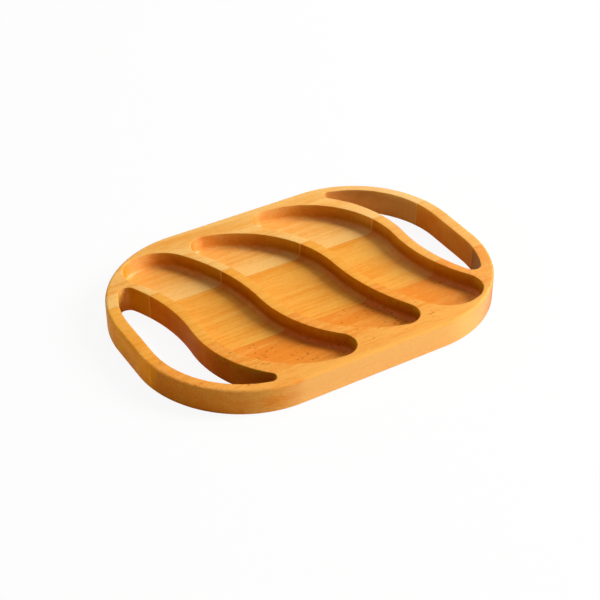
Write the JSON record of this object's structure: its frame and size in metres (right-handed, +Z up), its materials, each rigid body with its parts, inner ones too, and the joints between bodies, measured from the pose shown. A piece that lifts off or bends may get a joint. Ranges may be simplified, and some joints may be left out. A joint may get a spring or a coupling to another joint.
{
  "type": "divided serving tray",
  "caption": "Oval-ended wooden serving tray with S-shaped pockets side by side and a hand slot through each end.",
  "frame": {"origin": "centre of the flat underside", "axes": "+X along the tray from one hand slot to the other, +Y from front to back, +Z up out of the pockets"},
  "size_m": [0.35, 0.245, 0.026],
  "materials": {
    "beech_pale": "oiled, satin",
    "beech_honey": "oiled, satin",
    "beech_rosy": "oiled, satin"
  },
  "bodies": {
    "root": {"stave_back": "beech_pale", "stave_middle": "beech_honey", "stave_front": "beech_rosy", "grip_left": "beech_honey", "grip_right": "beech_honey"}
  },
  "joints": []
}
